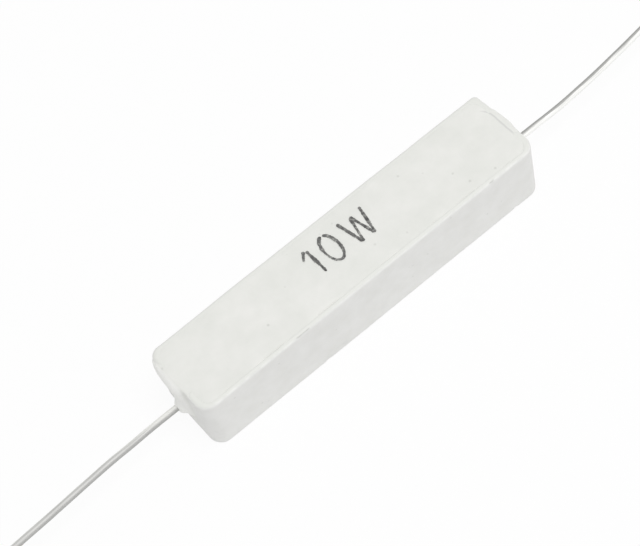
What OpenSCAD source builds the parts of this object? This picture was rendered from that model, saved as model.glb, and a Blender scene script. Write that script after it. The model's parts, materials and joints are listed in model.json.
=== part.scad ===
// Wirewound power resistor in a pressed ceramic case, with one axial lead at each end.
// The case is a trough that lies on its closed floor. Cement fills it flush with its thin rim, and
// slumps out of a wide slot in each end wall, round the lead. Inside, resistance wire is wound on
// a ceramic core between two pressed steel caps, and a lead is welded to each cap.
// X runs along the leads, Y across the case and Z up. The origin is the centre of the base.

/* [Ceramic case] */
// Length of the case along the leads
case_length = 48.5; // [46:0.5:60]
// Width of the case
case_width = 10.3; // [9:0.1:14]
// Height of the case
case_height = 9; // [8.4:0.1:13]
// Radius of the upright outer corners
corner_radius = 1.7; // [1:0.1:2.5]
// Rounding of the outer edges of the floor and the rim
edge_radius = 0.3; // [0.1:0.05:0.4]
// Thickness of the closed floor
floor_thickness = 1.3; // [0.8:0.05:1.4]
// Thickness of each long wall at the rim
side_wall = 0.65; // [0.5:0.05:1.1]
// Thickness of each end wall at the rim
end_wall = 0.9; // [0.6:0.1:2]
// Draft of the cavity walls in degrees
cavity_draft_angle = 3; // [0:0.5:4]
// Radius of the upright corners of the cavity at the rim
cavity_corner = 1.1; // [0.4:0.1:1.6]
// Width of the slot in each end wall, which is round at the bottom on the lead's axis
slot_width = 4; // [2.6:0.1:4.6]
// Rounding along the foot of the cavity's long walls
floor_fillet = 0.8; // [0.2:0.1:1.2]

/* [Cement] */
// How far the cement's surface lies below the rim
cement_drop = 0.05; // [0.01:0.01:0.3]
// How far the cement bulges out of the slots
slot_bulge = 0.45; // [0.1:0.05:0.7]
// How far the cement draws back into the slots at its surface
slot_draw = 0.4; // [0.1:0.05:0.5]
// Height over the leads at which the cement in the slots starts to draw back
slot_slope = 1.5; // [1.2:0.1:2.5]
// Radius of the cement knob round each lead
knob_radius = 1.15; // [0.8:0.05:1.2]

/* [Resistance element] */
// Diameter of the ceramic core
core_diameter = 4.4; // [3:0.1:4.6]
// Diameter of the resistance wire
wire_diameter = 0.3; // [0.2:0.02:0.4]
// Distance from one turn of the wire to the next, before the turns are spread to fit
wire_pitch = 1; // [0.8:0.05:2]
// Sheet thickness of the end caps
cap_wall = 0.35; // [0.2:0.05:0.5]
// Length of each cap over the core
cap_length = 4; // [2:0.25:6]
// Bend radius at the closed end of a cap, outside
cap_corner = 0.3; // [0.1:0.05:0.5]

/* [Leads] */
// Diameter of the leads
lead_diameter = 0.8; // [0.5:0.05:1.1]
// Height of the leads above the base
lead_height = 4.2; // [4:0.1:4.8]
// Length of each lead outside the case
lead_length = 35; // [20:1:60]
// Radius of the slight bend in each lead
bend_radius = 8; // [4:1:10]
// Straight run of the right lead before its bend
right_run_length = 7; // [2:0.5:12]
// Angle of the right lead's bend in degrees
right_bend_angle = 3.5; // [1:0.5:5]
// Straight run of the left lead before its bend
left_run_length = 10; // [2:0.5:12]
// Angle of the left lead's bend in degrees
left_bend_angle = 3; // [1:0.5:5]

/* [Clearances] */
// Cement between each end cap and the end wall, at the rim
cap_clearance = 3.9; // [2:0.1:6]
// Clearance round every piece that is cast in or pressed on
fit_gap = 0.03; // [0.02:0.005:0.05]

/* [Hidden] */
$fn = 96;

// Length by which a cutting shape runs past the face that it opens
cut_margin = 1;
case_end = case_length / 2;
cement_level = case_height - cement_drop;

core_radius = core_diameter / 2;
wire_radius = wire_diameter / 2;
lead_radius = lead_diameter / 2;
cap_bore = core_radius + fit_gap;
cap_radius = cap_bore + cap_wall;
cap_face = case_end - end_wall - cap_clearance;
cap_rim = cap_face - cap_length;
core_end = cap_face - cap_wall - fit_gap;

// The bulge springs from both edges of the slot, so its radius follows from the slot and the bulge
bulge_radius = (pow(slot_width / 2, 2) + pow(slot_bulge, 2)) / (2 * slot_bulge);
bulge_tip = case_end + slot_bulge;

// The wire runs on the core from one cap's rim to the other's, in a whole number of turns
coil_radius = core_radius + fit_gap + wire_radius;
coil_outer = coil_radius + wire_radius;
coil_length = 2 * (cap_rim - fit_gap - wire_radius);
coil_turns = floor(coil_length / wire_pitch);
coil_steps = 24;
wire_sides = 6;

// Outline of a block's plan or section with rounded corners, centred on the origin
module rounded_rectangle(length, width, radius) {
    square([length - 2 * radius, width], center = true);
    square([length, width - 2 * radius], center = true);
    for (x = [-1, 1], y = [-1, 1])
        translate([x * (length / 2 - radius), y * (width / 2 - radius)])
            circle(r = radius);
}

// A profile drawn in Y and Z, made into a bar of the given length along X
module along_x(length) {
    rotate([90, 0, 90])
        linear_extrude(length, center = true)
            children();
}

// A profile drawn in X and Z, made into a bar of the given length along Y
module along_y(length) {
    rotate([90, 0, 0])
        linear_extrude(length, center = true)
            children();
}

// A round bar on the axis of the leads, from one place along X to another
module axial_bar(radius, from, to) {
    translate([from, 0, lead_height])
        rotate([0, 90, 0])
            cylinder(r = radius, h = to - from);
}

// One upright corner of the case: a post with rounded ends, turned on its own axis
module corner_post() {
    rotate_extrude()
        intersection() {
            translate([0, case_height / 2])
                rounded_rectangle(2 * corner_radius, case_height, edge_radius);
            square([corner_radius, case_height]);
        }
}

// The block that the case is pressed as, with its edges rounded all the way round
module case_block() {
    along_x(case_length - 2 * corner_radius)
        translate([0, case_height / 2])
            rounded_rectangle(case_width, case_height, edge_radius);
    along_y(case_width - 2 * corner_radius)
        translate([0, case_height / 2])
            rounded_rectangle(case_length, case_height, edge_radius);
    for (x = [-1, 1], y = [-1, 1])
        translate([x * (case_end - corner_radius), y * (case_width / 2 - corner_radius), 0])
            corner_post();
}

// Half the width of the cavity at a height, for a half width at the rim: its walls have draft
function cavity_half(rim_half, height) = rim_half - (case_height - height) * tan(cavity_draft_angle);

// Section of the cavity, from the top of the floor to past the rim
module draft_profile(rim_half) {
    floor_half = cavity_half(rim_half, floor_thickness);
    top_half = cavity_half(rim_half, case_height + cut_margin);
    polygon([
        [-floor_half, floor_thickness],
        [floor_half, floor_thickness],
        [top_half, case_height + cut_margin],
        [-top_half, case_height + cut_margin]
    ]);
}

// The same section with its lower corners rounded
module filleted_profile(rim_half) {
    fillet_height = floor_thickness + floor_fillet;
    fillet_half = cavity_half(rim_half, fillet_height) - floor_fillet;
    intersection() {
        draft_profile(rim_half);
        union() {
            translate([-rim_half - cut_margin, fillet_height])
                square([2 * (rim_half + cut_margin), case_height]);
            translate([-fillet_half, 0])
                square([2 * fillet_half, case_height]);
            for (side = [-1, 1])
                translate([side * fillet_half, fillet_height])
                    circle(r = floor_fillet);
        }
    }
}

// The space inside the case, open past the rim
module cavity() {
    intersection() {
        along_x(case_length)
            filleted_profile(case_width / 2 - side_wall);
        along_y(case_width)
            draft_profile(case_end - end_wall);
        linear_extrude(case_height + cut_margin)
            rounded_rectangle(case_length - 2 * end_wall, case_width - 2 * side_wall, cavity_corner);
    }
}

// Section of a slot in Y and Z: a round bottom on the lead's axis and straight sides up to the top
module slot_profile(top) {
    translate([0, lead_height])
        circle(d = slot_width);
    translate([-slot_width / 2, lead_height])
        square([slot_width, top - lead_height]);
}

module ceramic_case() {
    color("white")
        difference() {
            case_block();
            cavity();
            along_x(case_length + cut_margin)
                slot_profile(case_height + cut_margin);
        }
}

// Side view of the cement in the slots: its ends are upright over the leads, and then lean in
module slope_profile() {
    polygon([
        [-bulge_tip, 0],
        [bulge_tip, 0],
        [bulge_tip, lead_height + slot_slope],
        [case_end - slot_draw, cement_level],
        [slot_draw - case_end, cement_level],
        [-bulge_tip, lead_height + slot_slope]
    ]);
}

// The cement in both slots. Its ends bulge: over the leads as upright posts, and below them as balls
// that carry the same curve down to the round bottom of each slot.
module slot_filling() {
    intersection() {
        union() {
            translate([0, 0, case_height / 2])
                cube([case_length, slot_width, case_height], center = true);
            for (side = [-1, 1])
                translate([side * (bulge_tip - bulge_radius), 0, lead_height]) {
                    cylinder(r = bulge_radius, h = case_height - lead_height);
                    sphere(r = bulge_radius);
                }
        }
        along_x(2 * bulge_tip)
            slot_profile(case_height);
        along_y(slot_width)
            slope_profile();
    }
}

// The room that the element and its leads take up in the cement
module element_space() {
    axial_bar(coil_outer + fit_gap, -cap_rim, cap_rim);
    for (side = [0, 180])
        rotate([0, 0, side]) {
            axial_bar(cap_radius + fit_gap, cap_rim - fit_gap, cap_face + fit_gap);
            axial_bar(lead_radius + fit_gap, cap_face, case_end + 2 * knob_radius);
        }
}

module cement_fill() {
    color("gainsboro")
        difference() {
            union() {
                intersection() {
                    cavity();
                    translate([0, 0, cement_level / 2])
                        cube([case_length, case_width, cement_level], center = true);
                }
                slot_filling();
                for (side = [-1, 1])
                    translate([side * case_end, 0, lead_height])
                        sphere(r = knob_radius);
            }
            element_space();
        }
}

module core_rod() {
    color("wheat")
        axial_bar(core_radius, -core_end, core_end);
}

// Place of the wire's centre line after a number of steps along the coil, from the left end
function coil_point(step) =
    let (turn = step / coil_steps)
    [
        coil_length * (turn / coil_turns - 0.5),
        coil_radius * cos(360 * turn),
        lead_height + coil_radius * sin(360 * turn)
    ];

// Direction of the wire at a step, as a unit vector
function coil_direction(step) =
    let (
        angle = 360 * step / coil_steps,
        advance = coil_length / coil_turns / (2 * PI),
        size = norm([advance, coil_radius])
    )
    [advance, -coil_radius * sin(angle), coil_radius * cos(angle)] / size;

// The corners of the wire's section at a step, in a plane square to the wire
function wire_ring(step) =
    let (
        angle = 360 * step / coil_steps,
        outward = [0, cos(angle), sin(angle)],
        sideways = cross(coil_direction(step), outward)
    )
    [
        for (side = [0:wire_sides - 1])
            let (turn = 360 * side / wire_sides)
            coil_point(step) + wire_radius * (cos(turn) * outward + sin(turn) * sideways)
    ];

module resistance_winding() {
    last = coil_turns * coil_steps;
    corners = [for (step = [0:last]) each wire_ring(step)];
    walls = [
        for (step = [0:last - 1], side = [0:wire_sides - 1])
            let (
                next = (side + 1) % wire_sides,
                near = step * wire_sides,
                far = near + wire_sides
            )
            [near + side, far + side, far + next, near + next]
    ];
    start = [for (side = [0:wire_sides - 1]) side];
    end = [for (side = [wire_sides - 1:-1:0]) last * wire_sides + side];
    color("dimgray")
        polyhedron(corners, concat([start], walls, [end]), convexity = 10);
}

// A pressed cup that closes over one end of the core, drawn at the right end
module end_cap() {
    color("silver")
        translate([cap_rim, 0, lead_height])
            rotate([0, 90, 0])
                rotate_extrude()
                    difference() {
                        intersection() {
                            translate([0, cap_length / 2])
                                rounded_rectangle(2 * cap_radius, cap_length, cap_corner);
                            square([cap_radius, cap_length]);
                        }
                        square([cap_bore, cap_length - cap_wall]);
                    }
}

module end_cap_left() {
    rotate([0, 0, 180])
        end_cap();
}

module end_cap_right() {
    end_cap();
}

// A lead from the face of its cap out through the cement, with one slight bend outside the case.
// It is placed by the start of its bend, which is where its straight run ends.
module lead(run, bend) {
    bend_at = case_end + run;
    bend_length = bend_radius * bend * PI / 180;
    color("silver")
        translate([bend_at, 0, lead_height]) {
            rotate([0, -90, 0])
                cylinder(r = lead_radius, h = bend_at - cap_face);
            translate([0, bend_radius, 0])
                rotate([0, 0, -90])
                    rotate_extrude(angle = bend)
                        translate([bend_radius, 0])
                            circle(r = lead_radius);
            translate([bend_radius * sin(bend), bend_radius * (1 - cos(bend)), 0])
                rotate([0, 90, bend])
                    cylinder(r = lead_radius, h = lead_length - run - bend_length);
        }
}

module lead_left() {
    rotate([0, 0, 180])
        lead(left_run_length, left_bend_angle);
}

module lead_right() {
    lead(right_run_length, right_bend_angle);
}

ceramic_case();
cement_fill();
core_rod();
resistance_winding();
end_cap_left();
end_cap_right();
lead_left();
lead_right();
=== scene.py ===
import json
import math

import bmesh
import bpy
from mathutils import Matrix, Vector, noise


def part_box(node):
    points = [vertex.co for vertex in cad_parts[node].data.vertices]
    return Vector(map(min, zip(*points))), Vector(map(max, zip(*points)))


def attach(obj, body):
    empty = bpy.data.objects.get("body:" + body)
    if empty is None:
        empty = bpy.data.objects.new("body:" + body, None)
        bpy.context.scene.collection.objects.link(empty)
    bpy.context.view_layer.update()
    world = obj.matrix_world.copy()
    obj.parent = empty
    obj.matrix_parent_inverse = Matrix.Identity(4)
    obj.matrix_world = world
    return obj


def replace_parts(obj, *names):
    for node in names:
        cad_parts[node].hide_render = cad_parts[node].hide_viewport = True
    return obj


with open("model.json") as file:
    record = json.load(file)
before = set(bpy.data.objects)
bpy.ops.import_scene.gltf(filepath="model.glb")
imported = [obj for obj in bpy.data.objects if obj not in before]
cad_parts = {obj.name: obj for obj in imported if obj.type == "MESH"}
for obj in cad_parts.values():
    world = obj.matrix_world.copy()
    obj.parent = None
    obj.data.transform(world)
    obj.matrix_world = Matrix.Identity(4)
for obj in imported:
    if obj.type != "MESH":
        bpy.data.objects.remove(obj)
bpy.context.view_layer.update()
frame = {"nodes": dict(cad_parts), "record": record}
MM = 0.001


# Ceramic case
# The real case is a trough pressed from dry steatite powder and fired, so it is one hard matt piece.
# Its edges are soft, its walls bow a hair from the kiln, and its faces show the grain of the powder.

CASE_END, CASE_SIDE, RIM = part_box("ceramic_case")[1]
SKIN_GRID = 0.2 * MM        # size of the facets that the case and the cement are rebuilt with
WAVE_SIZE = 6.0 * MM        # how far apart the slow swells of a pressed or poured face are
WAVE_DEPTH = 0.03 * MM
LUMP_SIZE = 0.9 * MM        # the finer unevenness along the edges
LUMP_DEPTH = 0.012 * MM
LUMP_SHIFT = Vector((7.3, 1.9, 4.1))    # takes the lumps from another part of the noise than the swells
BOW = 0.1 * MM              # how far the middle of the rim leans towards +Y
CORNER = 1.7 * MM           # plan radius of the upright corners
FAR_LEFT_CORNER = 1.2 * MM  # the two on the far side came out of the press tighter
FAR_RIGHT_CORNER = 0.5 * MM
OUT_OF_SQUARE = 0.25 * MM   # how far the far corner of the right end falls short
SQUARE_FROM = -1.0 * MM     # the place across the end where that starts
SQUARE_LENGTH = 4.0 * MM    # the length of case over which it comes on
# Small chips: place, radius and depth, all in millimetres
CHIPS = [
    ((-6.0, -5.15, 0.7), 0.45, 0.1),
    ((-8.1, -5.15, 0.5), 0.6, 0.07),
    ((20.2, -5.15, 0.0), 0.45, 0.15),
]
CHIP_BREAK = 0.35           # how ragged a chip's edge is, as a share of its radius
CHIP_BREAK_SIZE = 0.35 * MM
CHIP_STEEPNESS = 2.2        # how soon a chip falls to its full depth
# The cement's film on the rim, and the painted highlight on the long near edge, standing in for light on
# its
# rounding: how far below the rim each starts and is full, and how far in from the near face the highlight
# ends
FILM_BELOW = (0.15 * MM, 0.05 * MM)
HIGHLIGHT_BELOW = (0.3 * MM, 0.12 * MM)
HIGHLIGHT_IN = (0.14 * MM, 0.3 * MM)


def linear(code):
    """An sRGB hex colour as the linear colour that a shader takes."""
    parts = [int(code[i:i + 2], 16) / 255 for i in (0, 2, 4)]
    return [c / 12.92 if c <= 0.04045 else ((c + 0.055) / 1.055) ** 2.4 for c in parts] + [1.0]


def eased(value, low, high):
    """0 below low, 1 above high and a smooth step between them."""
    share = min(1.0, max(0.0, (value - low) / (high - low)))
    return share * share * (3 - 2 * share)


def add(material, kind, settings=None, values=None, links=None):
    """A new node with its settings, the values of its inputs, and the outputs that feed them."""
    new = material.node_tree.nodes.new(kind)
    for key, value in (settings or {}).items():
        setattr(new, key, value)
    for key, value in (values or {}).items():
        new.inputs[key].default_value = value
    for key, output in (links or {}).items():
        material.node_tree.links.new(output, new.inputs[key])
    return new


def new_material(name):
    """An empty material with its shader and its output already joined."""
    made = bpy.data.materials.new(name)
    made.use_nodes = True
    made.node_tree.nodes.clear()
    shader = add(made, "ShaderNodeBsdfPrincipled")
    add(made, "ShaderNodeOutputMaterial", links={"Surface": shader.outputs["BSDF"]})
    return made, shader


def new_piece(mesh, name, material):
    """Turn a bmesh into a smooth piece of the part, at the origin, and free the bmesh."""
    data = bpy.data.meshes.new(name)
    mesh.to_mesh(data)
    mesh.free()
    piece = bpy.data.objects.new(name, data)
    bpy.context.scene.collection.objects.link(piece)
    data.materials.append(material)
    for face in data.polygons:
        face.use_smooth = True
    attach(piece, "root")
    return piece


def rebuilt(source, extra, rounds):
    """A copy of a CAD node, joined with extra shapes, in even facets that are smoothed some rounds."""
    made = bmesh.new()
    made.from_mesh(source.data)
    bmesh.ops.remove_doubles(made, verts=made.verts, dist=1e-7)
    for shape in extra:
        made.from_mesh(shape)
    data = bpy.data.meshes.new("working")
    made.to_mesh(data)
    made.free()
    work = bpy.data.objects.new("working", data)
    bpy.context.scene.collection.objects.link(work)
    remesh = work.modifiers.new("even", "REMESH")
    remesh.mode = "VOXEL"
    remesh.voxel_size = SKIN_GRID
    soften = work.modifiers.new("soften", "SMOOTH")
    soften.factor = 0.5
    soften.iterations = rounds
    shape = work.evaluated_get(bpy.context.evaluated_depsgraph_get()).to_mesh()
    result = bmesh.new()
    result.from_mesh(shape)
    bpy.data.objects.remove(work)
    bpy.data.meshes.remove(data)
    return result


def corner_reach(way, tight):
    """How far a tighter corner reaches along way from the centre of the corner that it replaces."""
    inner = CORNER - tight
    if min(way.x, way.y) * CORNER <= inner * max(way.x, way.y):
        return CORNER / max(way.x, way.y)
    lean = inner * (way.x + way.y)
    return lean + math.sqrt(lean * lean - 2 * inner * inner + tight * tight)


def fire(mesh):
    """What the press and the kiln do: tight far corners, a right end out of square, a bowed rim."""
    for point in mesh.verts:
        out = Vector((abs(point.co.x) - CASE_END + CORNER, point.co.y - CASE_SIDE + CORNER, 0))
        if out.x > 0 and out.y > 0:
            way = out.normalized()
            tight = FAR_RIGHT_CORNER if point.co.x > 0 else FAR_LEFT_CORNER
            push = way * (corner_reach(way, tight) - CORNER) * eased(out.length, CORNER / 2, CORNER)
            point.co.x += math.copysign(push.x, point.co.x)
            point.co.y += push.y
        across = max(0.0, (point.co.y - SQUARE_FROM) / (CASE_SIDE - SQUARE_FROM))
        point.co.x -= OUT_OF_SQUARE * eased(point.co.x, CASE_END - SQUARE_LENGTH, CASE_END) * across
        along = min(1.0, abs(point.co.x) / CASE_END)
        point.co.y += BOW * (1 - along * along) * point.co.z / RIM


def roughen(mesh):
    """Move each point along its normal by slow swells and fine lumps.

    The base only gets hollows, because the part stands on its high spots.
    """
    mesh.normal_update()
    for point in mesh.verts:
        swell = noise.noise(point.co / WAVE_SIZE) * WAVE_DEPTH
        lump = noise.noise(point.co / LUMP_SIZE + LUMP_SHIFT) * LUMP_DEPTH
        point.co += point.normal * (swell + lump)
        point.co.z = max(0.0, point.co.z)


def chip(mesh, place, radius, depth):
    """Knock a shallow hollow with a broken edge out of a mesh. Sizes are in millimetres."""
    centre = Vector(place) * MM
    for point in mesh.verts:
        away = (point.co - centre).length / (radius * MM)
        ragged = away + CHIP_BREAK * noise.noise(point.co / CHIP_BREAK_SIZE)
        if ragged < 1:
            point.co -= point.normal * depth * MM * min(1.0, (1 - ragged) * CHIP_STEEPNESS)


def baked_powder(name, dark, light, speck, cloud_size, cloud_detail, hole_spacing, speck_edge,
                 speck_strength, pit_edge, pit_depth, grain_size, grain_detail, grain_strength,
                 grain_depth, rough):
    """A powder baked hard: dead matt and clouded, with its grain and with grey pin holes.

    Edges of specks and pits are shares of the spacing of the holes. Returned are the material, its
    shader, the place on the piece, and the colour, for what lies over it.
    """
    made, shader = new_material(name)
    place = add(made, "ShaderNodeTexCoord").outputs["Object"]
    clouds = add(made, "ShaderNodeTexNoise", links={"Vector": place},
                 values={"Scale": 1 / cloud_size, "Detail": cloud_detail, "Roughness": 0.6})
    tone = add(made, "ShaderNodeValToRGB", links={"Fac": clouds.outputs["Fac"]})
    tone.color_ramp.elements[0].position = 0.3
    tone.color_ramp.elements[0].color = linear(dark)
    tone.color_ramp.elements[1].position = 0.7
    tone.color_ramp.elements[1].color = linear(light)
    holes = add(made, "ShaderNodeTexVoronoi", values={"Scale": 1 / hole_spacing}, links={"Vector": place})
    specks = add(made, "ShaderNodeMapRange", links={"Value": holes.outputs["Distance"]},
                 values={"From Min": 0.03, "From Max": speck_edge, "To Min": speck_strength, "To Max": 0.0})
    colour = add(made, "ShaderNodeMix", {"data_type": "RGBA"}, {7: linear(speck)},
                 {0: specks.outputs["Result"], 6: tone.outputs["Color"]})
    grain = add(made, "ShaderNodeTexNoise", links={"Vector": place},
                values={"Scale": 1 / grain_size, "Detail": grain_detail})
    fine_bump = add(made, "ShaderNodeBump", values={"Strength": grain_strength, "Distance": grain_depth},
                    links={"Height": grain.outputs["Fac"]})
    pits = add(made, "ShaderNodeMapRange", values={"From Max": pit_edge},
               links={"Value": holes.outputs["Distance"]})
    pit_bump = add(made, "ShaderNodeBump", values={"Strength": 0.5, "Distance": pit_depth},
                   links={"Height": pits.outputs["Result"], "Normal": fine_bump.outputs["Normal"]})
    made.node_tree.links.new(pit_bump.outputs["Normal"], shader.inputs["Normal"])
    shader.inputs["Roughness"].default_value = rough
    shader.inputs["IOR"].default_value = 1.5
    return made, shader, place, colour.outputs[2]


# Fired steatite: off white, dead matt, with grey specks where pin holes show
steatite, shader, place, colour = baked_powder(
    "pressed_steatite", dark="EAEAE7", light="F1F1EF", speck="B9BAB4",
    cloud_size=2.5 * MM, cloud_detail=5.0,
    hole_spacing=1.8 * MM, speck_edge=0.09, speck_strength=0.3, pit_edge=0.1, pit_depth=0.05 * MM,
    grain_size=0.22 * MM, grain_detail=3.0, grain_strength=0.3, grain_depth=0.02 * MM, rough=0.62)
# The wipe left a film of cement on the rim, which takes the cement's tone
parts = add(steatite, "ShaderNodeSeparateXYZ", links={"Vector": place})
on_rim = add(steatite, "ShaderNodeMapRange", links={"Value": parts.outputs["Z"]},
             values={"From Min": RIM - FILM_BELOW[0], "From Max": RIM - FILM_BELOW[1]})
filmed = add(steatite, "ShaderNodeMix", {"data_type": "RGBA"}, {7: linear("E8E9E4")},
             {0: on_rim.outputs["Result"], 6: colour})
# Painted highlight: here and there the long near edge of the rim is painted lighter, for the light on its
# rounding
highlight_height = add(steatite, "ShaderNodeMapRange", links={"Value": parts.outputs["Z"]},
           values={"From Min": RIM - HIGHLIGHT_BELOW[0], "From Max": RIM - HIGHLIGHT_BELOW[1]})
highlight_inward = add(steatite, "ShaderNodeMapRange", links={"Value": parts.outputs["Y"]},
             values={"From Min": -CASE_SIDE + HIGHLIGHT_IN[0], "From Max": -CASE_SIDE + HIGHLIGHT_IN[1],
                     "To Min": 1.0, "To Max": 0.0})
patchy_noise = add(steatite, "ShaderNodeTexNoise", values={"Scale": 1 / (1.1 * MM), "Detail": 4.0},
           links={"Vector": place})
highlight_patches = add(steatite, "ShaderNodeMapRange", values={"From Min": 0.38, "From Max": 0.62},
              links={"Value": patchy_noise.outputs["Fac"]})
highlight_low_enough = add(steatite, "ShaderNodeMath", {"operation": "MULTIPLY"},
                 links={0: highlight_patches.outputs["Result"], 1: highlight_height.outputs["Result"]})
painted_highlight = add(steatite, "ShaderNodeMath", {"operation": "MULTIPLY"},
             links={0: highlight_low_enough.outputs["Value"], 1: highlight_inward.outputs["Result"]})
# Painted highlight: the near rim edge is mixed towards a lighter white
highlighted_colour = add(steatite, "ShaderNodeMix", {"data_type": "RGBA"}, {7: linear("F7F7F4")},
            {0: painted_highlight.outputs["Value"], 6: filmed.outputs[2]})
steatite.node_tree.links.new(highlighted_colour.outputs[2], shader.inputs["Base Color"])

case_mesh = rebuilt(frame["nodes"]["ceramic_case"], extra=[], rounds=1)
fire(case_mesh)
roughen(case_mesh)
for spot, radius, depth in CHIPS:
    chip(case_mesh, spot, radius, depth)
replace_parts(new_piece(case_mesh, "case_shell", steatite), "ceramic_case")


# Cement
# The real cement is a silicone-bound powder, poured in wet, wiped level with the rim and baked hard.
# The wipe leaves a film over the rim that hides most of the joint, and at each end the cement
# closes the slot and spills down the wall round the lead.

SIDE_WALL = 0.65 * MM       # thickness of the case's walls at the rim, up to which the cement reaches
END_WALL = 0.9 * MM
FILM = 0.06 * MM            # how far the wiped top is lifted to lie over the rim
FILM_NEAR = 0.4             # the share of that lift along the near wall
FILM_DEPTH = 0.45 * MM      # the part of the cement that the wipe spreads, from the top down
FILM_FULL = 0.15 * MM       # from this depth up it is spread in full
SPREAD_FAR = 0.42 * MM      # how far it spreads over the far wall and the ends
SPREAD_NEAR = 0.12 * MM     # and over the near wall, where the joint still shows
SPREAD_ZONE = 1.2 * MM      # the strip along the walls that is spread
SPREAD_STOP = 0.4 * MM      # no spread from here to the end faces
SLOT_EASE = 0.4 * MM        # the strip beside a slot over which the spread comes on
UNEVEN = (1.5 * MM, 0.4)    # size and strength of the unevenness of the spread
PATCH_SIZE = 4.0 * MM       # length of the stretches where it spreads further over the near wall
PATCH_MEAN = 0.7            # how often they come, how sharply, and how much further it spreads there
PATCH_SWING = 3.0
PATCH_REACH = 2.0
AXIS_HEIGHT = (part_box("lead_right")[0].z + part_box("lead_right")[1].z) / 2
SLOT_HALF = 2.0 * MM
SLOT_LAP = 0.25 * MM        # how far the cement laps over the worn edges of a slot
PLUG_DEPTH = 1.4 * MM
PLUG_DROP = 0.05 * MM       # how far the top of a slot's cement lies below the rim
TUCK = 0.02 * MM            # how far an edge of added cement is tucked under the face that it meets
SLAB_FACETS = (44, 56)      # facets across and up the front of a block of added cement
# Painted light: the spill on the end walls is painted whiter, standing in for the light on its slopes
SPILL_LIGHT_SPAN = (0.05 * MM, 0.25 * MM)    # it whitens from this far inside an end face to this far outside
SHADE_LINE_AT = 23.5 * MM        # the painted shade line across the right end, for the shadow at a step: its place along X
SHADE_LINE_MIDDLE = 0.4 * MM     # its middle and half its length across
SHADE_LINE_HALF = 2.7 * MM
SHADE_LINE_FADE = 0.6 * MM       # the stretch at each end where it fades out
SHADE_LINE_WANDER = 0.25 * MM
SHADE_LINE_TURN = 1.4 * MM       # from here on it curls in towards the far corner
SHADE_LINE_CURL = 0.25 / MM
SHADE_LINE_EDGE = (0.04 * MM, 0.16 * MM)     # half its width where it is darkest, and where it ends
SHADE_LINE_STRENGTH = 0.42
# The cement that spilled down over an end: height, how far it stands out, and its reach to the near
# and to the far side of the lead, in millimetres
SPILL = [
    (2.8, 0.05, 0.4, 0.5),
    (3.4, 0.4, 0.5, 0.8),
    (4.2, 0.5, 0.65, 1.4),
    (5.0, 0.5, 0.75, 2.2),
    (6.0, 0.58, 0.85, 3.2),
    (7.0, 0.7, 1.0, 4.0),
    (8.0, 0.8, 1.15, 4.5),
    (8.6, 0.5, 1.2, 4.6),
    (9.0, 0.0, 1.2, 4.7),
]
MOUND = (0.1, 4.7, 0.95, 0.42)    # where it heaps up round the lead: Y, Z, radius and height, millimetres
SPILL_SIZE = {-1: 1.0, 1: 0.6}    # less of it on the right end
SPILL_ROOT = 1.0 * MM       # how deep the spill is rooted in the end wall
SPILL_DIP = 0.5             # how far its top dips under the rim at its far end, millimetres


def spill_at(height):
    """How far the spill stands out, and its near and its far reach, at a height. In millimetres."""
    for low, high in zip(SPILL, SPILL[1:]):
        if height <= high[0]:
            share = max(0.0, (height - low[0]) / (high[0] - low[0]))
            return [low[i] + (high[i] - low[i]) * share for i in (1, 2, 3)]
    return SPILL[-1][1:]


def slab(front_at, inner):
    """Mesh data of a block whose front is made by front_at(u, v), and whose back is flat at inner."""
    made = bmesh.new()
    bmesh.ops.create_grid(made, x_segments=SLAB_FACETS[0], y_segments=SLAB_FACETS[1], size=0.5)
    front = made.verts[:]
    bmesh.ops.extrude_face_region(made, geom=made.faces[:])
    back = set(made.verts[:]) - set(front)
    for point in made.verts:
        point.co = front_at(point.co.x + 0.5, point.co.y + 0.5)
        if point in back:
            point.co.x = inner
    bmesh.ops.recalc_face_normals(made, faces=made.faces)
    data = bpy.data.meshes.new("slab")
    made.to_mesh(data)
    made.free()
    return data


def plug(side):
    """The cement that fills a slot flush with the end wall."""
    def front_at(u, v):
        height = AXIS_HEIGHT - SLOT_HALF + v * (RIM - PLUG_DROP - AXIS_HEIGHT + SLOT_HALF)
        below = max(0.0, AXIS_HEIGHT - height)
        half = math.sqrt(max(0.0, SLOT_HALF ** 2 - below ** 2)) + SLOT_LAP
        return Vector((side * (CASE_END - TUCK), (2 * u - 1) * half, height))
    return slab(front_at, side * (CASE_END - PLUG_DEPTH))


def spill(side):
    """The cement that ran over the end wall and down round the lead."""
    size = SPILL_SIZE[side]

    def front_at(u, v):
        across = 2 * u - 1
        top = (RIM - TUCK) / MM - SPILL_DIP * max(0.0, across) ** 4
        height = SPILL[0][0] + v * (top - SPILL[0][0])
        out, near, far = spill_at(height)
        y = across * (max(far * size, near) if across > 0 else near)
        away = math.hypot(y - MOUND[0], height - MOUND[1]) / MOUND[2]
        crown = out * size * math.sqrt(max(0.0, 1 - across * across))
        mound = MOUND[3] * max(0.0, 1 - away * away)
        turn = max(0.0, y * MM - CASE_SIDE + CORNER)
        wall = CASE_END - CORNER + math.sqrt(CORNER * CORNER - turn * turn)
        return Vector((side * (wall - TUCK + (crown + mound) * MM), y * MM, height * MM))
    return slab(front_at, side * (CASE_END - SPILL_ROOT))


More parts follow.
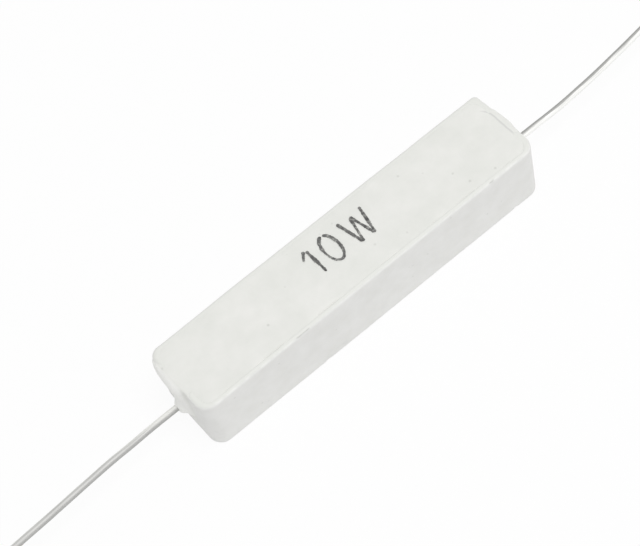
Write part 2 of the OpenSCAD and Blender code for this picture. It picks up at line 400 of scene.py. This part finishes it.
def wipe(mesh):
    """Lift the top of the cement and spread it over the joint, furthest over the far wall."""
    for point in mesh.verts:
        share = eased(point.co.z, RIM - FILM_DEPTH, RIM - FILM_FULL)
        if share == 0:
            continue
        along, across = abs(point.co.x), abs(point.co.y)
        share_side = eased(across, CASE_SIDE - SIDE_WALL - SPREAD_ZONE, CASE_SIDE - SIDE_WALL)
        share_end = eased(along, CASE_END - END_WALL - SPREAD_ZONE, CASE_END - END_WALL)
        share_end *= eased(across, SLOT_HALF, SLOT_HALF + SLOT_EASE)
        full = share * (1 - eased(along, CASE_END - END_WALL, CASE_END - SPREAD_STOP))
        full *= 1 + UNEVEN[1] * noise.noise(point.co / UNEVEN[0])
        swing = noise.noise(Vector((point.co.x / PATCH_SIZE, 5.0, 2.0)))
        patch = max(0.0, PATCH_MEAN + PATCH_SWING * swing)
        near = point.co.y <= 0
        spread = SPREAD_NEAR * (1 + PATCH_REACH * patch) if near else SPREAD_FAR
        point.co.y += math.copysign(spread * share_side * full, point.co.y)
        point.co.x += math.copysign(SPREAD_FAR * share_end * full, point.co.x)
        point.co.z += FILM * share * (1 - (1 - FILM_NEAR) * (share_side if near else 0))


# Baked cement: the same white as the case to the eye, a touch warmer and more open in its grain
cement, shader, place, colour = baked_powder(
    "baked_cement", dark="E5E6E1", light="EDEDE9", speck="B4B5AE",
    cloud_size=3.5 * MM, cloud_detail=6.0,
    hole_spacing=2.2 * MM, speck_edge=0.1, speck_strength=0.35, pit_edge=0.11, pit_depth=0.06 * MM,
    grain_size=0.3 * MM, grain_detail=4.0, grain_strength=0.35, grain_depth=0.03 * MM, rough=0.7)
# Painted light: the spill outside the end walls is painted whiter, standing in for the light that falls on
# its slopes
parts = add(cement, "ShaderNodeSeparateXYZ", links={"Vector": place})
along = add(cement, "ShaderNodeMath", {"operation": "ABSOLUTE"}, links={0: parts.outputs["X"]})
outside = add(cement, "ShaderNodeMapRange", links={"Value": along.outputs["Value"]},
              values={"From Min": CASE_END - SPILL_LIGHT_SPAN[0], "From Max": CASE_END + SPILL_LIGHT_SPAN[1]})
painted_light_colour = add(cement, "ShaderNodeMix", {"data_type": "RGBA"}, {7: linear("FAFAF7")},
             {0: outside.outputs["Result"], 6: colour})
# Painted shade: a thin dark line across the right end, standing in for the shadow in the step where the
# spill meets the level top. It wanders along X, and past its turn it curls inwards with the square of the
# distance
wander = add(cement, "ShaderNodeTexNoise", values={"Scale": 1 / (1.2 * MM)}, links={"Vector": place})
crooked = add(cement, "ShaderNodeMath", {"operation": "MULTIPLY_ADD"},
              {1: SHADE_LINE_WANDER, 2: -SHADE_LINE_AT - SHADE_LINE_WANDER / 2}, {0: wander.outputs["Fac"]})
beyond = add(cement, "ShaderNodeMath", {"operation": "ADD"},
             links={0: parts.outputs["X"], 1: crooked.outputs["Value"]})
past_turn = add(cement, "ShaderNodeMath", {"operation": "SUBTRACT"}, {1: SHADE_LINE_TURN},
                {0: parts.outputs["Y"]})
curl = add(cement, "ShaderNodeMath", {"operation": "MAXIMUM"}, {1: 0.0}, {0: past_turn.outputs["Value"]})
curl = add(cement, "ShaderNodeMath", {"operation": "MULTIPLY"},
           links={0: curl.outputs["Value"], 1: curl.outputs["Value"]})
curled = add(cement, "ShaderNodeMath", {"operation": "MULTIPLY_ADD"}, {1: SHADE_LINE_CURL},
             {0: curl.outputs["Value"], 2: beyond.outputs["Value"]})
away = add(cement, "ShaderNodeMath", {"operation": "ABSOLUTE"}, links={0: curled.outputs["Value"]})
line = add(cement, "ShaderNodeMapRange", links={"Value": away.outputs["Value"]},
           values={"From Min": SHADE_LINE_EDGE[0], "From Max": SHADE_LINE_EDGE[1],
                   "To Min": SHADE_LINE_STRENGTH, "To Max": 0.0})
across = add(cement, "ShaderNodeMath", {"operation": "SUBTRACT"}, {1: SHADE_LINE_MIDDLE},
             {0: parts.outputs["Y"]})
across = add(cement, "ShaderNodeMath", {"operation": "ABSOLUTE"}, links={0: across.outputs["Value"]})
within = add(cement, "ShaderNodeMapRange", links={"Value": across.outputs["Value"]},
             values={"From Min": SHADE_LINE_HALF - SHADE_LINE_FADE, "From Max": SHADE_LINE_HALF,
                     "To Min": 1.0, "To Max": 0.0})
shade_line = add(cement, "ShaderNodeMath", {"operation": "MULTIPLY"},
            links={0: line.outputs["Result"], 1: within.outputs["Result"]})
# Painted shade: along the line the cement is mixed towards grey
shade_lined = add(cement, "ShaderNodeMix", {"data_type": "RGBA"}, {7: linear("BDBDBD")},
              {0: shade_line.outputs["Value"], 6: painted_light_colour.outputs[2]})
cement.node_tree.links.new(shade_lined.outputs[2], shader.inputs["Base Color"])

cement_mesh = rebuilt(frame["nodes"]["cement_fill"], [plug(-1), plug(1), spill(-1), spill(1)], rounds=2)
wipe(cement_mesh)
fire(cement_mesh)
roughen(cement_mesh)
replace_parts(new_piece(cement_mesh, "cement_body", cement), "cement_fill")


# Printed rating
# The real mark is black stamping ink, thin on the cement, in pen-like strokes with round ends.
# It is a plain number with a unit. The strokes swell and thin, and break up over the grain.

MARK_LIFT = 0.05 * MM
LAYER = 0.003 * MM          # each stroke lies this much above the one before
STROKE = 0.44               # width of the strokes, millimetres
STROKE_GRID = 0.08          # length of the facets along a stroke, millimetres
PRESSURE = (0.82, 0.45, 0.9)      # how broad a stroke is: its mean, its swing and the swing's size
RAGGED = (0.3, 0.16)        # how ragged its edges are, and the size of the raggedness
MARK_CENTRE = (0.1, 1.0)    # middle of the mark on the top face, millimetres
GLYPH_HEIGHT = 3.9
GLYPH_GAP = 0.34
MARK = "10W"
RING = [math.tau * step / 36 for step in range(1, 37)]
# Each glyph is its width and its strokes. A stroke is a list of points in a cell one high.
GLYPHS = {
    "1": (0.29, [[(0.0, 0.7), (0.2, 0.98)], [(0.27, 0.93), (0.29, 0.0)]]),
    "0": (0.5, [[(0.25 + 0.25 * math.sin(t), 0.5 + 0.5 * math.cos(t)) for t in RING]]),
    "W": (0.84, [[(0.0, 1.0), (0.2, 0.02)], [(0.22, 0.0), (0.42, 0.9)],
                 [(0.43, 0.92), (0.63, 0.02)], [(0.65, 0.0), (0.84, 1.0)]]),
}


def stroke(mesh, points, height):
    """Lay one pen stroke along points in a bmesh. Everything is in millimetres."""
    runs = [0.0]
    for start, end in zip(points, points[1:]):
        runs.append(runs[-1] + math.dist(start, end))
    length = runs[-1]
    facets = max(8, int(length / STROKE_GRID))
    made = bmesh.ops.create_grid(mesh, x_segments=facets, y_segments=4, size=0.5)
    for point in made["verts"]:
        run, side = (point.co.x + 0.5) * length, point.co.y * 2
        i = max(0, min(len(points) - 2, sum(1 for step in runs if step <= run) - 1))
        start, end = Vector(points[i]), Vector(points[i + 1])
        way = (end - start).normalized()
        middle = start.lerp(end, (run - runs[i]) / (runs[i + 1] - runs[i]))
        from_end = min(1.0, min(run, length - run) / (STROKE / 2))
        rounded = math.sqrt(max(0.0, 1 - (1 - from_end) ** 2))
        broad = PRESSURE[0] + PRESSURE[1] * noise.noise(Vector((*middle, 3.0)) / PRESSURE[2])
        broad += RAGGED[0] * noise.noise(Vector((*middle, 9.0 + side)) / RAGGED[1])
        offset = side * STROKE / 2 * rounded * broad
        point.co = Vector((middle.x - way.y * offset, middle.y + way.x * offset, height))


# Stamping ink: dull grey black, with white of the cement showing where the grain broke the stroke
ink, shader = new_material("stamping_ink")
place = add(ink, "ShaderNodeTexCoord").outputs["Object"]
patchy_noise = add(ink, "ShaderNodeTexNoise", values={"Scale": 1 / (0.45 * MM), "Detail": 5.0, "Roughness": 0.65},
           links={"Vector": place})
shade = add(ink, "ShaderNodeValToRGB", links={"Fac": patchy_noise.outputs["Fac"]})
shade.color_ramp.elements[0].position = 0.35
shade.color_ramp.elements[0].color = linear("A9A9A5")
shade.color_ramp.elements[1].position = 0.64
shade.color_ramp.elements[1].color = linear("444443")
shade.color_ramp.elements.new(0.48).color = linear("6C6C6A")
ink.node_tree.links.new(shade.outputs["Color"], shader.inputs["Base Color"])
shader.inputs["Roughness"].default_value = 0.6

mark_mesh = bmesh.new()
pen = -(sum(GLYPHS[letter][0] for letter in MARK) + GLYPH_GAP * (len(MARK) - 1)) / 2
layer = 0
for letter in MARK:
    width, strokes = GLYPHS[letter]
    for points in strokes:
        placed = [((pen + x) * GLYPH_HEIGHT + MARK_CENTRE[0],
                   (y - 0.5) * GLYPH_HEIGHT + MARK_CENTRE[1]) for x, y in points]
        stroke(mark_mesh, placed, (RIM + MARK_LIFT + layer * LAYER) / MM)
        layer += 1
    pen += width + GLYPH_GAP
bmesh.ops.scale(mark_mesh, vec=(MM, MM, MM), verts=mark_mesh.verts)
fire(mark_mesh)
new_piece(mark_mesh, "printed_rating", ink)


# Leads
# Each real lead is copper wire dipped in tin, welded to its end cap and bent a little in handling.
# The tin is dull and a hair uneven along the wire. A darker stripe is painted along one side, painted shade
# and dark reflection standing in for the shaded side of each lead.

WIRE_SIDES = 24
RING_STEP = 0.5 * MM
BEND_EASE = 1.6 * MM        # how far the bend is spread along the wire each way
STRAIGHT_STEPS = 20         # rings from the cap to the bend, and round the bend
BEND_STEPS = 8
TIN_UNEVEN = 0.014 * MM
TIN_SWELL = 2.5             # length of the swells of the tin along the wire, millimetres
LINE_STRETCH = 0.12         # the drawing lines are long along the wire, so its run is scaled down
SHADE_STRIPE_SPREAD = 10          # the stripe widens over this length outside the case, millimetres
# The middle of each lead's painted shade stripe round the wire, in degrees from +Y over the top, and its
# half width in degrees at the case and where it has widened. Then the colours of the stripe and of the tin;
# the left lead's tin is a painted shaded copy of the right's, darker all round.
SHADE_STRIPES = {
    "lead_left": (172, 50, 120, "BDBDBB", "E4E4E1"),
    "lead_right": (58, 60, 64, "AAAAA8", "F4F4F2"),
}
# How handling swayed each lead sideways between its cap and its clamping point: distance from the
# middle of the part and sway, in millimetres
SWAY = {
    "lead_left": [(20, 0), (24, 0.15), (28, 0.15), (33, 0.05), (44, 0)],
    "lead_right": [(20, 0), (24, -0.4), (36, -0.52), (52, 0)],
}


def dipped_tin(name, middle, half_near, half_far, dark, light):
    """Tin on a drawn wire, with a painted dark stripe of shade and reflection on one side. The stripe and
    the drawing lines follow the turn kept on the mesh.
    """
    made, tin_shader = new_material(name)
    turn = add(made, "ShaderNodeAttribute", {"attribute_name": "turn"}).outputs["Vector"]
    parts = add(made, "ShaderNodeSeparateXYZ", links={"Vector": turn})
    lines_at = add(made, "ShaderNodeMapping", values={"Scale": (LINE_STRETCH, 1.0, 1.0)},
                   links={"Vector": turn})
    lines = add(made, "ShaderNodeTexNoise", values={"Scale": 3.0, "Detail": 4.0},
                links={"Vector": lines_at.outputs["Vector"]})
    angle = math.radians(middle)
    facing = add(made, "ShaderNodeVectorMath", {"operation": "DOT_PRODUCT"},
                 {1: (0, math.cos(angle), math.sin(angle))}, {0: turn})
    limit = add(made, "ShaderNodeMapRange", links={"Value": parts.outputs["X"]},
                values={"From Min": CASE_END / MM, "From Max": CASE_END / MM + SHADE_STRIPE_SPREAD,
                        "To Min": math.cos(math.radians(half_near)),
                        "To Max": math.cos(math.radians(half_far))})
    over = add(made, "ShaderNodeMath", {"operation": "SUBTRACT"},
               links={0: facing.outputs["Value"], 1: limit.outputs["Result"]})
    ragged = add(made, "ShaderNodeMath", {"operation": "ADD"},
                 links={0: over.outputs["Value"], 1: lines.outputs["Fac"]})
    share = add(made, "ShaderNodeMapRange", values={"From Min": 0.2, "From Max": 0.9},
                links={"Value": ragged.outputs["Value"]})
    # Painted shade: the stripe darkens the tin on one side of the wire
    tint = add(made, "ShaderNodeMix", {"data_type": "RGBA"}, {6: linear(light), 7: linear(dark)},
               {0: share.outputs["Result"]})
    dull = add(made, "ShaderNodeMapRange", values={"To Min": 0.55, "To Max": 0.75},
               links={"Value": lines.outputs["Fac"]})
    bump = add(made, "ShaderNodeBump", values={"Strength": 0.4, "Distance": 0.01 * MM},
               links={"Height": lines.outputs["Fac"]})
    made.node_tree.links.new(tint.outputs[2], tin_shader.inputs["Base Color"])
    made.node_tree.links.new(dull.outputs["Result"], tin_shader.inputs["Roughness"])
    made.node_tree.links.new(bump.outputs["Normal"], tin_shader.inputs["Normal"])
    tin_shader.inputs["Metallic"].default_value = 1.0
    return made


def swayed(point, table):
    """A point of a lead moved sideways by its table, with a smooth step from each entry to the next."""
    run = abs(point.x) / MM
    for low, high in zip(table, table[1:]):
        if low[0] <= run <= high[0]:
            sway = low[1] + (high[1] - low[1]) * eased(run, low[0], high[0])
            return point + Vector((0, sway * MM, 0))
    return point


def wire_path(start, mount, table):
    """Points along a lead: straight out of its cap, round one eased bend, and on to its cut end."""
    way = Vector(mount["axis"])
    tail = Vector(mount["pos_m"])
    end = tail + way * mount["dims"]["length_mm"] * MM / 2
    kink = tail - way * (tail.y / way.y)
    before = Vector((kink.x - math.copysign(BEND_EASE, way.x), 0, start.z))
    after = kink + way * BEND_EASE
    points = [start.lerp(before, i / STRAIGHT_STEPS) for i in range(STRAIGHT_STEPS)]
    for i in range(BEND_STEPS):
        t = i / BEND_STEPS
        points.append(before * (1 - t) ** 2 + kink * 2 * t * (1 - t) + after * t ** 2)
    steps = round((end - after).length / RING_STEP)
    points += [after.lerp(end, i / steps) for i in range(steps + 1)]
    return [swayed(point, table) for point in points]


def wire(points, radius):
    """A closed wire along points, ring by ring, with its run and its turn kept on each point."""
    made = bmesh.new()
    turn = made.verts.layers.float_vector.new("turn")
    ring = bmesh.ops.create_circle(made, cap_ends=False, segments=WIRE_SIDES, radius=radius)["verts"]
    edges = made.edges[:]
    bmesh.ops.edgeloop_fill(made, edges=edges)
    place = Matrix.Identity(4)
    for i, point in enumerate(points):
        if i:
            grown = bmesh.ops.extrude_edge_only(made, edges=edges)["geom"]
            ring = [item for item in grown if isinstance(item, bmesh.types.BMVert)]
            edges = [item for item in grown if isinstance(item, bmesh.types.BMEdge)]
        way = (points[min(i + 1, len(points) - 1)] - points[max(i - 1, 0)]).normalized()
        upright = Vector((0, 0, 1))
        level = upright.cross(way).normalized() * math.copysign(1, way.x)
        axes = Matrix((level, upright, level.cross(upright))).transposed().to_4x4()
        new_place = Matrix.Translation(point) @ axes
        bmesh.ops.transform(made, verts=ring, matrix=new_place @ place.inverted())
        place = new_place
        for spot in ring:
            away = (spot.co - point) / radius
            spot[turn] = (abs(point.x) / MM, away.dot(level), away.z)
    bmesh.ops.edgeloop_fill(made, edges=edges)
    bmesh.ops.recalc_face_normals(made, faces=made.faces)
    made.normal_update()
    for spot in made.verts:
        run, across, up = spot[turn]
        swell = noise.noise(Vector((run / TIN_SWELL, across, up)))
        spot.co += Vector((0, spot.normal.y, spot.normal.z)) * swell * TIN_UNEVEN
    return made


mounts = {mount["name"]: mount for mount in frame["record"]["mounts"]}
for name in ("lead_left", "lead_right"):
    side = name.replace("lead_", "")
    low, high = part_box(name)
    start = Vector((min(low.x, high.x, key=abs), 0, AXIS_HEIGHT))
    path = wire_path(start, mounts[side + "_lead_end"], SWAY[name])
    tin = dipped_tin("dipped_tin_" + side, *SHADE_STRIPES[name])
    lead = new_piece(wire(path, (high.z - low.z) / 2), "tinned_" + name, tin)
    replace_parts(lead, name)


# Element
# Inside the cement lies the real resistor: a ceramic rod with a cap pressed on each end, wound with
# bare resistance wire. The caps are plated steel, and the wire is drawn and oxidised a little.

STREAK_STRETCH = 0.06       # streaks are long along X, so it is scaled down
DARK_STREAK = 0.8           # how dark a dark streak is, as a share of the metal's colour


def metal(name, code, rough, line_size, depth):
    """A drawn or pressed metal with soft streaks along X and a little bump across them."""
    made, metal_shader = new_material(name)
    place = add(made, "ShaderNodeTexCoord").outputs["Object"]
    along = add(made, "ShaderNodeMapping", values={"Scale": (STREAK_STRETCH, 1.0, 1.0)},
                links={"Vector": place})
    streak = add(made, "ShaderNodeTexNoise", values={"Scale": 1 / line_size, "Detail": 4.0},
                 links={"Vector": along.outputs["Vector"]})
    tint = add(made, "ShaderNodeValToRGB", links={"Fac": streak.outputs["Fac"]})
    tint.color_ramp.elements[0].color = [c * DARK_STREAK for c in linear(code)[:3]] + [1.0]
    tint.color_ramp.elements[1].color = linear(code)
    dull = add(made, "ShaderNodeMapRange", values={"To Min": rough * 0.8, "To Max": rough * 1.3},
               links={"Value": streak.outputs["Fac"]})
    lines = add(made, "ShaderNodeBump", values={"Strength": 0.4, "Distance": depth},
                links={"Height": streak.outputs["Fac"]})
    made.node_tree.links.new(tint.outputs["Color"], metal_shader.inputs["Base Color"])
    made.node_tree.links.new(dull.outputs["Result"], metal_shader.inputs["Roughness"])
    made.node_tree.links.new(lines.outputs["Normal"], metal_shader.inputs["Normal"])
    metal_shader.inputs["Metallic"].default_value = 1.0
    return made


plated = metal("plated_steel", "BDBCBA", 0.32, 0.3 * MM, 0.01 * MM)
alloy = metal("drawn_resistance_alloy", "8A847C", 0.4, 0.1 * MM, 0.005 * MM)
for node, finish in (("end_cap_left", plated), ("end_cap_right", plated),
                     ("resistance_winding", alloy), ("core_rod", steatite)):
    data = frame["nodes"][node].data
    data.materials.clear()
    data.materials.append(finish)


# Camera
# It stands where the photograph's camera stood, worked out from the edges of the case.

CAMERA_PLACE = Vector((-48.9837, -102.2695, 195.3257)) * MM
CAMERA_HEADING = -23.8559   # degrees round Z, then down from the vertical, then about its own axis
CAMERA_TILT = 30.8499
CAMERA_ROLL = -17.8714

camera_data = bpy.data.cameras.new("camera")
camera_data.sensor_width = 36.0
camera_data.lens = 110.0
camera = bpy.data.objects.new("camera", camera_data)
heading = Matrix.Rotation(math.radians(CAMERA_HEADING), 4, "Z")
tilt = Matrix.Rotation(math.radians(CAMERA_TILT), 4, "X")
roll = Matrix.Rotation(math.radians(CAMERA_ROLL), 4, "Z")
camera.matrix_world = Matrix.Translation(CAMERA_PLACE) @ heading @ tilt @ roll
bpy.context.scene.collection.objects.link(camera)
bpy.context.scene.camera = camera


# Floor and light
# A plain white sheet under the part, and one large soft lamp above it, behind the camera's right.

SHEET_HALF = 1.5
SHEET_GLOW = 0.92           # the share of plain white in what the camera sees of the sheet
SKY_LIGHT = 0.6             # the strength of the world's light on the part
LAMP_PLACE = Vector((0.09, -0.15, 0.58))
LAMP_SIZE = 0.35
LAMP_POWER = 1.5


def shown_directly(material):
    """1 for rays that come from the camera, a mirror or glass, and 0 for those that light the part."""
    ray = add(material, "ShaderNodeLightPath")
    seen = add(material, "ShaderNodeMath", {"operation": "MAXIMUM"},
               links={0: ray.outputs["Is Camera Ray"], 1: ray.outputs["Is Glossy Ray"]})
    seen = add(material, "ShaderNodeMath", {"operation": "MAXIMUM"},
               links={0: seen.outputs["Value"], 1: ray.outputs["Is Transmission Ray"]})
    return seen.outputs["Value"]


bpy.context.scene.view_settings.view_transform = "Standard"

# White paper: matt, with a faint unevenness of its fibres
paper, shader = new_material("white_paper")
place = add(paper, "ShaderNodeTexCoord").outputs["Object"]
fibre = add(paper, "ShaderNodeTexNoise", values={"Scale": 1 / (4 * MM), "Detail": 3.0},
            links={"Vector": place})
tone = add(paper, "ShaderNodeValToRGB", links={"Fac": fibre.outputs["Fac"]})
tone.color_ramp.elements[0].color = linear("F4F4F4")
tone.color_ramp.elements[1].color = linear("F7F7F7")
paper.node_tree.links.new(tone.outputs["Color"], shader.inputs["Base Color"])
shader.inputs["Roughness"].default_value = 0.9
share = add(paper, "ShaderNodeMath", {"operation": "MULTIPLY"}, {1: SHEET_GLOW},
            {0: shown_directly(paper)})
glow = add(paper, "ShaderNodeEmission", values={"Color": (1, 1, 1, 1), "Strength": 1.0})
blend = add(paper, "ShaderNodeMixShader",
            links={0: share.outputs["Value"], 1: shader.outputs["BSDF"], 2: glow.outputs["Emission"]})
outlet = [node for node in paper.node_tree.nodes if node.bl_idname == "ShaderNodeOutputMaterial"][0]
paper.node_tree.links.new(blend.outputs["Shader"], outlet.inputs["Surface"])

sheet_mesh = bmesh.new()
bmesh.ops.create_grid(sheet_mesh, x_segments=1, y_segments=1, size=SHEET_HALF)
data = bpy.data.meshes.new("floor")
sheet_mesh.to_mesh(data)
sheet_mesh.free()
data.materials.append(paper)
floor = bpy.data.objects.new("floor", data)
bpy.context.scene.collection.objects.link(floor)

world = bpy.data.worlds.new("studio")
world.use_nodes = True
sky = world.node_tree.nodes["Background"]
sky.inputs["Color"].default_value = (1, 1, 1, 1)
level = add(world, "ShaderNodeMapRange", values={"To Min": SKY_LIGHT, "To Max": 1.0},
            links={"Value": shown_directly(world)})
world.node_tree.links.new(level.outputs["Result"], sky.inputs["Strength"])
bpy.context.scene.world = world

lamp_data = bpy.data.lights.new("softbox", "AREA")
lamp_data.shape = "DISK"
lamp_data.size = LAMP_SIZE
lamp_data.energy = LAMP_POWER
lamp = bpy.data.objects.new("softbox", lamp_data)
aim = (-LAMP_PLACE).to_track_quat("-Z", "Y").to_matrix().to_4x4()
lamp.matrix_world = Matrix.Translation(LAMP_PLACE) @ aim
bpy.context.scene.collection.objects.link(lamp)
